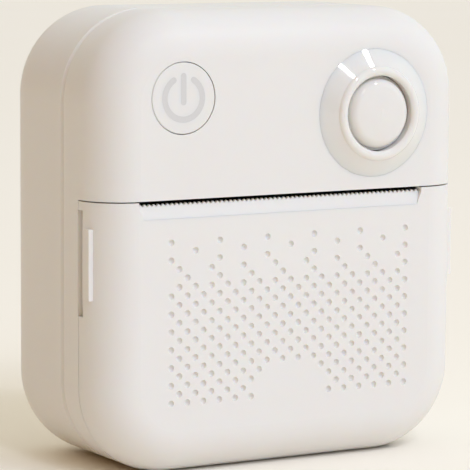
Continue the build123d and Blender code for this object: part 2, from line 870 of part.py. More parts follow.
with BuildPart() as power_button:
    flange_face = wall + button_wall_clearance
    flange_end = flange_face + button_flange_thickness
    front_disc(power_x, power_z, power_radius, 0, flange_face)
    chamfer(power_button.edges().filter_by(GeomType.CIRCLE).sort_by(Axis.Y)[0], power_edge)
    front_disc(power_x, power_z, power_radius + power_gap + button_flange_overlap, flange_face, flange_end)
    front_disc(power_x, power_z, button_stem_radius, flange_face, plunger_face)
    add(power_symbol.part, mode=Mode.SUBTRACT)
finish(power_button, "power_button")

# Platen: rubber roller on a steel shaft, turning in two bushings that the door carries
shaft_right = gear_layer_inner + gear_width
shaft_left = mechanism_x - plate_span - gear_side_gap

with BuildPart() as platen_shaft:
    side_disc(platen_depth, platen_height, shaft_radius, shaft_left, shaft_right)
finish(platen_shaft, "platen_shaft")

with BuildPart() as platen_roller:
    roller_left = mechanism_x - platen_length / 2
    side_disc(platen_depth, platen_height, platen_radius, roller_left, roller_left + platen_length)
    chamfer(platen_roller.edges().filter_by(GeomType.CIRCLE), platen_edge)
    side_disc(platen_depth, platen_height, shaft_radius, shaft_left, shaft_right, Mode.SUBTRACT)
finish(platen_roller, "platen_roller")

with BuildPart() as platen_bushings:
    bushing_length = plate_span - door_arm_inset
    for x_low in (mechanism_x - plate_span, mechanism_x + door_arm_inset):
        side_disc(platen_depth, platen_height, bushing_radius, x_low, x_low + bushing_length)
        bore = shaft_radius + bushing_bore_clearance
        side_disc(platen_depth, platen_height, bore, x_low, x_low + bushing_length, Mode.SUBTRACT)
finish(platen_bushings, "platen_bushings")


def gear(depth, height, teeth, x_low, bore, turn):
    """A spur gear on an X axis, its teeth trapezoids with running clearance, turned to be in mesh."""
    pitch_radius = gear_module * teeth / 2
    root_radius = pitch_radius - 1.25 * gear_module
    tip_radius = pitch_radius + 0.9 * gear_module
    pitch_half = gear_module * pi / 4 - gear_backlash
    root_half = pitch_half + 0.42 * gear_module
    tip_half = pitch_half - 0.4 * gear_module
    with BuildSketch(side_at(x_low)) as outline:
        with Locations((depth, height)):
            Circle(root_radius)
            with PolarLocations(0, teeth, start_angle=turn):
                Polygon(
                    (root_radius * 0.9, -root_half),
                    (root_radius, -root_half),
                    (pitch_radius, -pitch_half),
                    (tip_radius, -tip_half),
                    (tip_radius, tip_half),
                    (pitch_radius, pitch_half),
                    (root_radius, root_half),
                    (root_radius * 0.9, root_half),
                    align=None,
                )
            Circle(bore, mode=Mode.SUBTRACT)
    extrude(outline.sketch, amount=gear_width)


# Gear train: the platen gear drives on from the idler, and the idler from the motor's pinion
small_pitch = 360 / idler_small_teeth
idler_small_turn = idler_direction + 180 + small_pitch / 2
large_pitch = 360 / idler_large_teeth
idler_large_turn = pinion_direction
pinion_turn = pinion_direction + 180 + 180 / pinion_teeth

with BuildPart() as platen_gear:
    gear(platen_depth, platen_height, platen_teeth, gear_layer_inner, shaft_radius, idler_direction)
finish(platen_gear, "platen_gear")

with BuildPart() as idler_gear:
    idler_bore = axle_radius + axle_clearance
    gear(idler_depth, idler_height, idler_small_teeth, gear_layer_inner, idler_bore, idler_small_turn)
    gear(idler_depth, idler_height, idler_large_teeth, gear_layer_outer, idler_bore, idler_large_turn)
    hub_low = gear_layer_inner + gear_width
    side_disc(idler_depth, idler_height, 2 * axle_radius, hub_low, gear_layer_outer)
    side_disc(idler_depth, idler_height, idler_bore, hub_low, gear_layer_outer, Mode.SUBTRACT)
finish(idler_gear, "idler_gear")

with BuildPart() as motor_pinion:
    gear(motor_depth, motor_height, pinion_teeth, gear_layer_outer, motor_shaft_radius, pinion_turn)
finish(motor_pinion, "motor_pinion")

gear_stack_end = gear_layer_outer + gear_width
with BuildPart() as idler_axle:
    axle_start = mechanism_x + plate_inset
    side_disc(idler_depth, idler_height, axle_radius, axle_start, gear_stack_end + gear_side_gap)
    head_end = gear_stack_end + 2 * gear_side_gap
    side_disc(idler_depth, idler_height, 2 * axle_radius, gear_stack_end + gear_side_gap / 2, head_end)
finish(idler_axle, "idler_axle")

motor_face = mechanism_x + plate_inset
motor_back = motor_face - motor_length
motor_ears = [
    (
        motor_depth + s * motor_ear_distance * cos(radians(motor_ear_angle)),
        motor_height + s * motor_ear_distance * sin(radians(motor_ear_angle)),
    )
    for s in sides
]
with BuildPart() as motor_shaft:
    side_disc(motor_depth, motor_height, motor_shaft_radius, motor_back + motor_shaft_inset, gear_stack_end)
finish(motor_shaft, "motor_shaft")

with BuildPart() as stepper_motor:
    side_disc(motor_depth, motor_height, motor_radius, motor_back, motor_face - motor_flange_thickness)
    chamfer(stepper_motor.edges().filter_by(GeomType.CIRCLE).sort_by(Axis.X)[0], motor_edge)
    with BuildSketch(side_at(motor_face - motor_flange_thickness)):
        with Locations((motor_depth, motor_height)):
            Circle(motor_radius - motor_flange_inset)
            SlotCenterToCenter(2 * motor_ear_distance, 2 * motor_ear_radius, rotation=motor_ear_angle)
    extrude(amount=motor_flange_thickness)
    motor_bore = motor_shaft_radius + axle_clearance
    side_disc(motor_depth, motor_height, motor_bore, motor_back + motor_shaft_inset, motor_face, Mode.SUBTRACT)
    for depth, height in motor_ears:
        ear_hole = small_screw_radius + thread_clearance
        side_disc(depth, height, ear_hole, motor_face - motor_flange_thickness, motor_face, Mode.SUBTRACT)
finish(stepper_motor, "stepper_motor")

with BuildPart() as motor_screws:
    for depth, height in motor_ears:
        plate_face = motor_face + plate_thickness
        side_disc(depth, height, small_screw_radius, motor_face - motor_flange_thickness, plate_face)
        side_disc(depth, height, small_screw_head_radius, plate_face, plate_face + gear_side_gap)
finish(motor_screws, "motor_screws")

# Mechanism frame: two side plates joined by a top plate, with open notches for the bushings
with BuildPart() as mechanism_frame:
    for x_low in (mechanism_x - plate_span, mechanism_x + plate_inset):
        x_high = x_low + plate_thickness
        side_box(x_low, x_high, plate_front, plate_rear, plate_low, plate_top)
        notch = bushing_radius + bushing_notch_clearance
        with BuildSketch(side_at(x_low)):
            with Locations((platen_depth, platen_height)):
                Circle(notch)
            with BuildLine():
                Polyline(
                    (platen_depth, platen_height + notch),
                    (plate_front - 1, platen_height + notch + notch_mouth),
                    (plate_front - 1, platen_height - notch - notch_flare),
                    (platen_depth, platen_height - notch),
                    close=True,
                )
            make_face()
        extrude(amount=plate_thickness, mode=Mode.SUBTRACT)
        side_disc(pivot_depth, pivot_height, pivot_radius, x_low, x_high, Mode.SUBTRACT)
    side_box(
        mechanism_x - plate_span,
        mechanism_x + plate_span,
        plate_front,
        plate_rear,
        top_plate_low,
        plate_top,
    )
    # Window in the top plate for the head's ribbon
    side_box(
        mechanism_x - top_window_half,
        mechanism_x + top_window_half,
        spring_depth + 2 * spring_radius,
        top_window_rear,
        top_plate_low,
        plate_top,
        Mode.SUBTRACT,
    )
    for s in sides:
        x_a = mechanism_x + s * plate_span
        x_b = mechanism_x + s * (plate_span + lug_reach)
        lug_end = lug_depth + lug_thickness
        side_box(min(x_a, x_b), max(x_a, x_b), lug_depth, lug_end, lug_low, plate_top)
    for x, z in lug_screw_places:
        hole = small_screw_radius + screw_hole_clearance
        front_disc(x, z, hole, lug_depth, lug_depth + lug_thickness, Mode.SUBTRACT)
    side_disc(idler_depth, idler_height, axle_radius, motor_face, motor_face + plate_thickness, Mode.SUBTRACT)
    shaft_hole = 2 * motor_shaft_radius
    side_disc(motor_depth, motor_height, shaft_hole, motor_face, motor_face + plate_thickness, Mode.SUBTRACT)
    for depth, height in motor_ears:
        hole = small_screw_radius + screw_hole_clearance
        side_disc(depth, height, hole, motor_face, motor_face + plate_thickness, Mode.SUBTRACT)
finish(mechanism_frame, "mechanism_frame")

with BuildPart() as mechanism_screws:
    for x, z in lug_screw_places:
        lug_face = lug_depth + lug_thickness
        front_disc(x, z, small_screw_radius, lug_depth - board_screw_bite, lug_face)
        front_disc(x, z, small_screw_head_radius, lug_face, lug_face + small_screw_head_height)
finish(mechanism_screws, "mechanism_screws")


def head_block(length, u_low, u_high, v_low, v_high, mode=Mode.ADD):
    """A block along the width in the tilted head's own directions."""
    with BuildSketch(head_at(mechanism_x - length / 2)) as section:
        with Locations(((u_low + u_high) / 2, (v_low + v_high) / 2)):
            Rectangle(u_high - u_low, v_high - v_low)
    extrude(section.sketch, amount=length, mode=mode)


# Thermal head: a ceramic strip on an aluminium heat sink that pivots under two springs
with BuildPart() as thermal_head:
    head_block(head_length, ceramic_front, ceramic_rear, head_face, sink_face)
finish(thermal_head, "thermal_head")

spring_places = [mechanism_x + s * spring_spacing / 2 for s in sides]
with BuildPart() as head_heat_sink:
    head_block(sink_length, sink_front, sink_rear, sink_face, sink_face + sink_thickness)
    for x in spring_places:
        with BuildSketch(Plane.XY.offset(spring_seat_height)):
            with Locations((x, front_y + spring_depth)):
                Circle(spring_seat_radius)
        extrude(amount=-spring_seat_radius)
    pivot_bore = pivot_radius + pivot_clearance
    side_disc(pivot_depth, pivot_height, pivot_bore, -half_width, half_width, Mode.SUBTRACT)
finish(head_heat_sink, "head_heat_sink")

with BuildPart() as head_pivot_pin:
    side_disc(pivot_depth, pivot_height, pivot_radius, mechanism_x - plate_span, mechanism_x + plate_span)
finish(head_pivot_pin, "head_pivot_pin")

spring_height = top_plate_low - spring_seat_height - spring_wire
with BuildPart() as head_springs:
    for x in spring_places:
        start = (x, front_y + spring_depth, spring_seat_height + spring_wire / 2)
        with BuildLine():
            coil = Helix(spring_height / spring_turns, spring_height, spring_radius, center=start)
        with BuildSketch(Plane(origin=coil @ 0, z_dir=coil % 0)):
            Circle(spring_wire / 2)
        sweep(path=coil, is_frenet=True)
finish(head_springs, "head_springs")

# Ribbon from the head to the board, with a socket at each end
socket_top = sink_back + socket_height
socket_middle = sink_back + socket_height / 2
ribbon_socket_low = board_low + ribbon_socket_rise

with BuildPart() as head_connector:
    socket_width = ribbon_width + 2 * socket_side_wall
    head_block(socket_width, sink_rear - socket_length, sink_rear, sink_back, socket_top)
    channel = ribbon_thickness / 2 + ribbon_room
    head_block(
        ribbon_width + 2 * ribbon_room,
        sink_rear - socket_slot_length,
        sink_rear + socket_slot_length,
        socket_middle - channel,
        socket_middle + channel,
        Mode.SUBTRACT,
    )
finish(head_connector, "head_connector")


def head_point(u, v):
    """Depth and height of a point given along and away from the head."""
    return (
        platen_depth + u * cos(tilt) + v * sin(tilt),
        platen_height + v * cos(tilt) - u * sin(tilt),
    )


ribbon_start = head_point(sink_rear - ribbon_grip, socket_middle)
ribbon_exit = head_point(sink_rear + ribbon_exit_reach, socket_middle)
ribbon_end_height = ribbon_socket_low + ribbon_socket_size / 2
with BuildPart() as head_ribbon:
    with BuildSketch(side_at(mechanism_x - ribbon_width / 2)):
        with BuildLine() as ribbon_line:
            FilletPolyline(
                ribbon_start,
                ribbon_exit,
                (ribbon_exit[0] + ribbon_lean, ribbon_end_height),
                (board_back + ribbon_socket_size / 2, ribbon_end_height),
                radius=ribbon_bend,
            )
        trace(line_width=ribbon_thickness)
    extrude(amount=ribbon_width)
finish(head_ribbon, "head_ribbon")

with BuildPart() as ribbon_connector:
    end_depth = board_back + ribbon_socket_size
    side_box(
        mechanism_x - socket_width / 2,
        mechanism_x + socket_width / 2,
        board_back,
        end_depth,
        ribbon_socket_low,
        ribbon_socket_low + ribbon_socket_size,
    )
    side_box(
        mechanism_x - ribbon_width / 2,
        mechanism_x + ribbon_width / 2,
        board_back + ribbon_socket_size / 2,
        end_depth,
        ribbon_end_height - ribbon_thickness / 2,
        ribbon_end_height + ribbon_thickness / 2,
        Mode.SUBTRACT,
    )
finish(ribbon_connector, "ribbon_connector")

# Main board with its screws, chip and switches
with BuildPart() as main_board:
    with BuildSketch(front_at(board_depth)):
        with Locations((0, (board_low + board_high) / 2)):
            RectangleRounded(2 * board_half_width, board_high - board_low, board_corner)
        tab_left = board_half_width / 2
        with Locations(((tab_left + board_tab_right) / 2, (board_low + board_tab_high) / 2)):
            RectangleRounded(board_tab_right - tab_left, board_tab_high - board_low, board_corner / 2)
        with Locations(*board_screw_places):
            Circle(small_screw_radius + screw_hole_clearance, mode=Mode.SUBTRACT)
    extrude(amount=-board_thickness)
finish(main_board, "main_board")

with BuildPart() as board_screws:
    for x, z in board_screw_places:
        front_disc(x, z, small_screw_radius, board_depth - board_screw_bite, board_back)
        front_disc(x, z, small_screw_head_radius, board_back, board_back + small_screw_head_height)
finish(board_screws, "board_screws")

with BuildPart() as main_chip:
    chip_left = mechanism_x - chip_shift - chip_side / 2
    chip_low = board_high - chip_drop
    side_box(
        chip_left,
        chip_left + chip_side,
        board_back,
        board_back + chip_thickness,
        chip_low,
        chip_low + chip_side,
    )
finish(main_chip, "main_chip")


def push_switch(name, x, z):
    """A square push switch on the board, and the plunger that its button pushes."""
    with BuildPart() as housing:
        half = switch_size / 2
        side_box(x - half, x + half, switch_face, board_depth, z - half, z + half)
        bore = switch_plunger_radius + switch_bore_clearance
        bore_end = plunger_face + switch_plunger_length + feed_travel + switch_bore_clearance
        front_disc(x, z, bore, switch_face, bore_end, Mode.SUBTRACT)
    finish(housing, f"{name}_switch")
    with BuildPart() as plunger:
        front_disc(x, z, switch_plunger_radius, plunger_face, plunger_face + switch_plunger_length)
    finish(plunger, f"{name}_switch_plunger")


push_switch("power", power_x, power_z)
push_switch("feed", feed_x, feed_z)

# Charging port on the board's right edge
with BuildPart() as usb_c_port:
    port_middle = (board_back + usb_thickness / 2, usb_height)
    with BuildSketch(side_at(usb_mouth_x - usb_length)):
        with Locations(port_middle):
            RectangleRounded(usb_thickness, usb_width, usb_thickness * usb_round_share)
    extrude(amount=usb_length)
    with BuildSketch(side_at(usb_mouth_x - usb_length + usb_back_wall)):
        with Locations(port_middle):
            inner_thickness = usb_thickness - 2 * usb_shell_wall
            RectangleRounded(inner_thickness, usb_width - 2 * usb_shell_wall, inner_thickness * usb_round_share)
            Rectangle(usb_tongue_thickness, usb_tongue_width, mode=Mode.SUBTRACT)
    extrude(amount=usb_length, mode=Mode.SUBTRACT)
finish(usb_c_port, "usb_c_port")

# Battery with its connector and two leads
with BuildPart() as battery:
    side_box(
        battery_x - battery_width / 2,
        battery_x + battery_width / 2,
        battery_depth,
        battery_depth + battery_thickness,
        battery_low,
        battery_top,
    )
    fillet(battery.edges().filter_by(Axis.Z), battery_corner)
finish(battery, "battery")

with BuildPart() as battery_connector:
    connector_half = lead_spacing + lead_radius
    plug_top = board_high - battery_plug_inset
    side_box(
        lead_x - connector_half,
        lead_x + connector_half,
        board_back,
        board_back + battery_plug_thickness,
        plug_top - battery_plug_height,
        plug_top,
    )
finish(battery_connector, "battery_connector")

lead_depth = battery_depth + battery_thickness / 2
for name, x in (("red", lead_x - lead_spacing / 2), ("black", lead_x + lead_spacing / 2)):
    with BuildPart() as battery_lead:
        front_depth = board_back + battery_plug_thickness / 2
        with BuildLine():
            route = FilletPolyline(
                (x, front_y + lead_depth, battery_top),
                (x, front_y + lead_depth, lead_height),
                (x, front_y + front_depth, lead_height),
                (x, front_y + front_depth, plug_top),
                radius=lead_bend,
            )
        with BuildSketch(Plane(origin=route @ 0, z_dir=route % 0)):
            Circle(lead_radius)
        sweep(path=route)
    finish(battery_lead, f"battery_lead_{name}")

# Paper bay: a cradle round the roll with end walls, a roof and a guide up to the platen
with BuildPart() as paper_bay:
    with BuildSketch(side_at(bay_left - bay_wall)) as bay_outline:
        with Locations((roll_depth, roll_height)):
            Circle(cradle_outer)
        box_front = roll_depth - cradle_radius + bay_wall
        with Locations(((box_front + bay_rear) / 2, (roll_height + bay_roof) / 2)):
            Rectangle(bay_rear - box_front, bay_roof - roll_height)
        with Locations((bay_front / 2 - 1, bay_roof / 2)):
            Rectangle(bay_front + 2, 2 * bay_roof, mode=Mode.SUBTRACT)
    extrude(amount=2 * (bay_half + bay_wall))
    with BuildSketch(side_at(bay_left)) as bay_hollow:
        with Locations((roll_depth, roll_height)):
            Circle(cradle_radius)
        hollow_rear = bay_rear - bay_wall
        hollow_top = bay_roof - bay_wall
        with Locations((hollow_rear / 2, (roll_height + hollow_top) / 2)):
            Rectangle(hollow_rear, hollow_top - roll_height)
        with Locations((bay_mouth / 2, bay_roof)):
            Rectangle(bay_mouth, 2 * (bay_roof - hollow_top))
    extrude(amount=2 * bay_half, mode=Mode.SUBTRACT)
    # Paper guide at the front edge of the roof
    guide_top = plate_low
    side_box(
        bay_left - bay_wall, bay_right + bay_wall, bay_mouth, bay_mouth + bay_wall, hollow_top, guide_top
    )
    for s in sides:
        x_a = mechanism_x + s * (bay_half + bay_wall / 2)
        x_b = mechanism_x + s * (bay_half + bay_wall + bay_lug_reach)
        side_box(
            min(x_a, x_b),
            max(x_a, x_b),
            bay_lug_depth,
            bay_lug_depth + bay_lug_thickness,
            bay_lug_low,
            bay_lug_low + bay_lug_height,
        )
    for x, z in bay_screw_places:
        hole = small_screw_radius + screw_hole_clearance
        front_disc(x, z, hole, bay_lug_depth, bay_lug_depth + bay_lug_thickness, Mode.SUBTRACT)
    hub_radius = core_bore_radius - hub_clearance
    side_disc(roll_depth, roll_height, hub_radius, -half_width, half_width, Mode.SUBTRACT)
    side_box(
        mechanism_x - sensor_width / 2,
        mechanism_x + sensor_width / 2,
        bay_mouth,
        bay_mouth + bay_wall,
        guide_top - sensor_drop - sensor_height,
        guide_top - sensor_drop,
        Mode.SUBTRACT,
    )
finish(paper_bay, "paper_bay")

with BuildPart() as paper_sensor:
    side_box(
        mechanism_x - sensor_width / 2,
        mechanism_x + sensor_width / 2,
        bay_mouth,
        bay_mouth + bay_wall,
        guide_top - sensor_drop - sensor_height,
        guide_top - sensor_drop,
    )
finish(paper_sensor, "paper_sensor")

for name, s in (("left", -1), ("right", 1)):
    with BuildPart() as roll_holder:
        flange_x = mechanism_x + s * (bay_half + bay_wall)
        flange_end = flange_x + s * hub_flange_thickness
        hub_end = mechanism_x + s * (half_paper - hub_reach)
        side_disc(
            roll_depth, roll_height, hub_flange_radius, min(flange_x, flange_end), max(flange_x, flange_end)
        )
        side_disc(roll_depth, roll_height, hub_radius, min(hub_end, flange_end), max(hub_end, flange_end))
        inner = hub_radius - bay_wall
        side_disc(roll_depth, roll_height, inner, min(hub_end, flange_x), max(hub_end, flange_x), Mode.SUBTRACT)
    finish(roll_holder, f"{name}_roll_holder")

with BuildPart() as roll_core:
    core_left = mechanism_x - half_paper
    side_disc(roll_depth, roll_height, core_outer_radius, core_left, core_left + paper_width)
    side_disc(roll_depth, roll_height, core_bore_radius, core_left, core_left + paper_width, Mode.SUBTRACT)
finish(roll_core, "roll_core")

with BuildPart() as label_roll:
    side_disc(roll_depth, roll_height, roll_radius, core_left, core_left + paper_width)
    side_disc(roll_depth, roll_height, core_outer_radius, core_left, core_left + paper_width, Mode.SUBTRACT)
finish(label_roll, "label_roll")

with BuildPart() as bay_screws:
    for x, z in bay_screw_places:
        lug_face = bay_lug_depth + bay_lug_thickness
        front_disc(x, z, small_screw_radius, bay_lug_depth, lug_face + board_screw_bite)
        front_disc(x, z, small_screw_head_radius, bay_lug_depth - small_screw_head_height, bay_lug_depth)
finish(bay_screws, "bay_screws")

# Door sensing: a magnet on the door and its sensor on the mechanism's left plate
sensor_plate_x = mechanism_x - plate_span
with BuildPart() as door_magnet:
    front_disc(magnet_x, magnet_z, magnet_radius, magnet_seat, magnet_seat + magnet_length)
finish(door_magnet, "door_magnet")

with BuildPart() as door_sensor:
    sensor_low = plate_low + sensor_rise
    sensor_front = plate_front + sensor_inset
    side_box(
        sensor_plate_x - sensor_thickness,
        sensor_plate_x,
        sensor_front,
        sensor_front + sensor_side,
        sensor_low,
        sensor_low + sensor_side,
    )
finish(door_sensor, "door_sensor")

with BuildPart() as shell_screws:
    for x, z in shell_screw_places:
        tip = shell_seam_depth - shell_screw_bite
        front_disc(x, z, screw_radius, tip, shell_screw_seat)
        front_disc(x, z, screw_head_radius, shell_screw_seat, shell_screw_seat + screw_head_height)
finish(shell_screws, "shell_screws")
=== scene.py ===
import math

import bpy
from mathutils import Matrix, Vector


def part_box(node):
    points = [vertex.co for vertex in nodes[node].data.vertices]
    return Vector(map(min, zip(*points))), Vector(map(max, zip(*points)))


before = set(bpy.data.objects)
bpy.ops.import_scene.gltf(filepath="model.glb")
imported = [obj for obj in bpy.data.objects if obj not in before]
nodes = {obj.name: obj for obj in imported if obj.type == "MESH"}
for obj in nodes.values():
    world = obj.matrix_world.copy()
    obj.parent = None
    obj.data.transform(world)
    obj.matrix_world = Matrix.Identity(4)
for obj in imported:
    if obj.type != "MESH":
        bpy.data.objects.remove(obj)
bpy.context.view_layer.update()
print("frame loaded:", len(nodes), "nodes")

mm = 0.001  # metres in a millimetre

# Sockets of a colour mix: its two colours, the share of the second, and the result
firstColour, secondColour, share, mixed = 6, 7, 0, 2


def linearFromHex(code):
    channels = [int(code[i:i + 2], 16) / 255 for i in (1, 3, 5)]
    linear = [c / 12.92 if c <= 0.04045 else ((c + 0.055) / 1.055) ** 2.4 for c in channels]
    return linear + [1.0]


def perMetre(size):
    return 1 / (size * mm)  # texture repeats in a metre, from a size in millimetres


def addNode(tree, kind, settings, links=None):
    # each key is a setting of the node or, failing that, one of its inputs
    node = tree.nodes.new(kind)
    for key, value in settings.items():
        if isinstance(key, str) and hasattr(node, key):
            setattr(node, key, value)
        else:
            node.inputs[key].default_value = value
    for key, source in (links or {}).items():
        tree.links.new(source, node.inputs[key])
    return node


def startMaterial(name, shaderSettings):
    material = bpy.data.materials.new(name)
    material.use_nodes = True
    tree = material.node_tree
    tree.nodes.clear()
    shader = addNode(tree, "ShaderNodeBsdfPrincipled", shaderSettings)
    addNode(tree, "ShaderNodeOutputMaterial", {}, {"Surface": shader.outputs["BSDF"]})
    place = addNode(tree, "ShaderNodeTexCoord", {}).outputs["Object"]  # the row frame, in metres
    return material, tree, shader, place


# Plastics, and other pieces with an even grain; sizes and depths are in millimetres
mouldedLook = {
    "colour": "#E7E4DF", "shade": "#E4E0DA", "cloud": 30.0,
    "grain": 0.35,  # spark-eroded grain is about 0.05 mm: too fine to show, so drawn coarser
    "grainDepth": 0.006, "roughness": 0.42, "roughnessSpread": 0.05,
    # light sinks about a millimetre into the plastic and comes back warm, which fills the seams
    "depth": {"Subsurface Weight": 0.35, "Subsurface Scale": 0.0012,
              "Subsurface Radius": (1.0, 0.62, 0.36)},
}
innerLooks = {
    "blackAbs": {"colour": "#1B1B1C", "shade": "#232324", "cloud": 12.0,
                 "grain": 0.4, "grainDepth": 0.01, "roughness": 0.5, "roughnessSpread": 0.08},
    "naturalAcetal": {"colour": "#EAE6D6", "shade": "#E0DBC8", "cloud": 8.0, "grain": 0.6,
                      "grainDepth": 0.004, "roughness": 0.34, "roughnessSpread": 0.05},
    "redPvc": {"colour": "#B3201C", "shade": "#A51A17", "cloud": 6.0,
               "grain": 0.5, "grainDepth": 0.006, "roughness": 0.38, "roughnessSpread": 0.05},
    "blackPvc": {"colour": "#19191A", "shade": "#222223", "cloud": 6.0,
                 "grain": 0.5, "grainDepth": 0.006, "roughness": 0.38, "roughnessSpread": 0.05},
    "mouldedEpoxy": {"colour": "#202124", "shade": "#282A2D", "cloud": 4.0,
                     "grain": 0.2, "grainDepth": 0.01, "roughness": 0.6, "roughnessSpread": 0.05},
    "groundRubber": {"colour": "#1C1C1D", "shade": "#272727", "cloud": 5.0,
                     "grain": 0.25, "grainDepth": 0.03, "roughness": 0.72, "roughnessSpread": 0.08},
    "alumina": {"colour": "#E9E4D6", "shade": "#DDD7C6", "cloud": 5.0,
                "grain": 0.15, "grainDepth": 0.003, "roughness": 0.22, "roughnessSpread": 0.04},
}
grainLook = {"IOR": 1.54, "cloudDetail": 2.0, "detail": 3.0, "strength": 0.35}


def mouldedAbs(name, look):
    # ABS from a spark-eroded mould: an even satin skin that spreads each highlight;
    # the inner plastics, the rubber and the ceramic have the same kind of skin
    material, tree, shader, place = startMaterial(
        name, {"IOR": grainLook["IOR"], **look.get("depth", {})})
    cloud = addNode(tree, "ShaderNodeTexNoise",
                    {"Scale": perMetre(look["cloud"]), "Detail": grainLook["cloudDetail"]},
                    {"Vector": place})
    tint = addNode(tree, "ShaderNodeMix",
                   {"data_type": "RGBA", firstColour: linearFromHex(look["colour"]),
                    secondColour: linearFromHex(look["shade"])},
                   {share: cloud.outputs["Fac"]})
    grain = addNode(tree, "ShaderNodeTexNoise",
                    {"Scale": perMetre(look["grain"]), "Detail": grainLook["detail"]},
                    {"Vector": place})
    sheen = addNode(tree, "ShaderNodeMapRange",
                    {"To Min": look["roughness"] - look["roughnessSpread"],
                     "To Max": look["roughness"] + look["roughnessSpread"]},
                    {"Value": grain.outputs["Fac"]})
    skin = addNode(tree, "ShaderNodeBump",
                   {"Strength": grainLook["strength"], "Distance": look["grainDepth"] * mm},
                   {"Height": grain.outputs["Fac"]})
    tree.links.new(tint.outputs[mixed], shader.inputs["Base Color"])
    tree.links.new(sheen.outputs["Result"], shader.inputs["Roughness"])
    tree.links.new(skin.outputs["Normal"], shader.inputs["Normal"])
    return material


polishedLook = {
    "colour": "#E6E3DE", "shade": "#E3DFD9",
    "wave": 4.0, "waveDetail": 1.0, "waveDepth": 0.002, "waveStrength": 0.2,
    "surface": {"IOR": 1.54, "Roughness": 0.07, "Coat Weight": 0.6, "Coat Roughness": 0.03,
                "Subsurface Weight": 0.35, "Subsurface Scale": 0.003,
                "Subsurface Radius": (1.0, 0.62, 0.36)},
}


def polishedAbs(name, look):
    # ABS from a polished mould: sharp highlights with the faintest waviness
    material, tree, shader, place = startMaterial(name, look["surface"])
    wave = addNode(tree, "ShaderNodeTexNoise",
                   {"Scale": perMetre(look["wave"]), "Detail": look["waveDetail"]},
                   {"Vector": place})
    tint = addNode(tree, "ShaderNodeMix",
                   {"data_type": "RGBA", firstColour: linearFromHex(look["colour"]),
                    secondColour: linearFromHex(look["shade"])},
                   {share: wave.outputs["Fac"]})
    skin = addNode(tree, "ShaderNodeBump",
                   {"Strength": look["waveStrength"], "Distance": look["waveDepth"] * mm},
                   {"Height": wave.outputs["Fac"]})
    tree.links.new(tint.outputs[mixed], shader.inputs["Base Color"])
    tree.links.new(skin.outputs["Normal"], shader.inputs["Normal"])
    return material


inkLook = {"colour": "#CFCCC8", "thin": "#D5D2CE", "mesh": 0.3, "meshDetail": 2.0,
           "surface": {"IOR": 1.5, "Roughness": 0.5}}


def padPrintedInk(name, look):
    # pad-printed ink: flat and soft, a little thinner in places
    material, tree, shader, place = startMaterial(name, look["surface"])
    mesh = addNode(tree, "ShaderNodeTexNoise",
                   {"Scale": perMetre(look["mesh"]), "Detail": look["meshDetail"]},
                   {"Vector": place})
    tint = addNode(tree, "ShaderNodeMix",
                   {"data_type": "RGBA", firstColour: linearFromHex(look["colour"]),
                    secondColour: linearFromHex(look["thin"])},
                   {share: mesh.outputs["Fac"]})
    tree.links.new(tint.outputs[mixed], shader.inputs["Base Color"])
    return material


# Metals; scratch and depth are in millimetres, and stretch is a scratch's length over its width
steelLook = {"colour": "#C6C4BE", "shade": "#AEACA8", "scratch": 0.25, "stretch": 14.0,
             "roughness": 0.32, "depth": 0.004}
groundLook = {"colour": "#CFCDC9", "shade": "#B9B7B4", "scratch": 0.12, "stretch": 0.1,
              "roughness": 0.22, "depth": 0.003}
aluminiumLook = {"colour": "#D5D6D8", "shade": "#C2C4C7", "scratch": 0.2, "stretch": 20.0,
                 "roughness": 0.36, "depth": 0.004}
nickelLook = {"colour": "#D8D3C8", "shade": "#C9C4B9", "scratch": 0.4, "stretch": 1.0,
              "roughness": 0.16, "depth": 0.002}
marksLook = {"detail": 4.0, "smoother": 0.06, "rougher": 0.08, "strength": 0.3}


def workedMetal(name, look):
    # rolled, ground or plated metal: fine marks along the work draw the reflections out
    material, tree, shader, place = startMaterial(name, {"Metallic": 1.0})
    scale = addNode(tree, "ShaderNodeMapping", {"Scale": (1 / look["stretch"], 1, 1)},
                    {"Vector": place})
    marks = addNode(tree, "ShaderNodeTexNoise",
                    {"Scale": perMetre(look["scratch"]), "Detail": marksLook["detail"]},
                    {"Vector": scale.outputs["Vector"]})
    tint = addNode(tree, "ShaderNodeMix",
                   {"data_type": "RGBA", firstColour: linearFromHex(look["colour"]),
                    secondColour: linearFromHex(look["shade"])},
                   {share: marks.outputs["Fac"]})
    gloss = addNode(tree, "ShaderNodeMapRange",
                    {"To Min": look["roughness"] - marksLook["smoother"],
                     "To Max": look["roughness"] + marksLook["rougher"]},
                    {"Value": marks.outputs["Fac"]})
    skin = addNode(tree, "ShaderNodeBump",
                   {"Strength": marksLook["strength"], "Distance": look["depth"] * mm},
                   {"Height": marks.outputs["Fac"]})
    tree.links.new(tint.outputs[mixed], shader.inputs["Base Color"])
    tree.links.new(gloss.outputs["Result"], shader.inputs["Roughness"])
    tree.links.new(skin.outputs["Normal"], shader.inputs["Normal"])
    return material


# Board, ribbon, battery, labels
lineStep = math.tau / 20  # Blender's wave texture draws a line at each of these, at a scale of 1
maskLook = {"mask": "#0F5A33", "track": "#1B7A49", "bend": 2.0, "trackEdge": 0.62,
            "spacing": 7.54,  # mm; real tracks are about 1 mm apart, so drawn coarser to show
            "ripple": 6.0, "rippleDepth": 0.03, "rippleStrength": 0.4,
            "surface": {"IOR": 1.5, "Roughness": 0.28}}


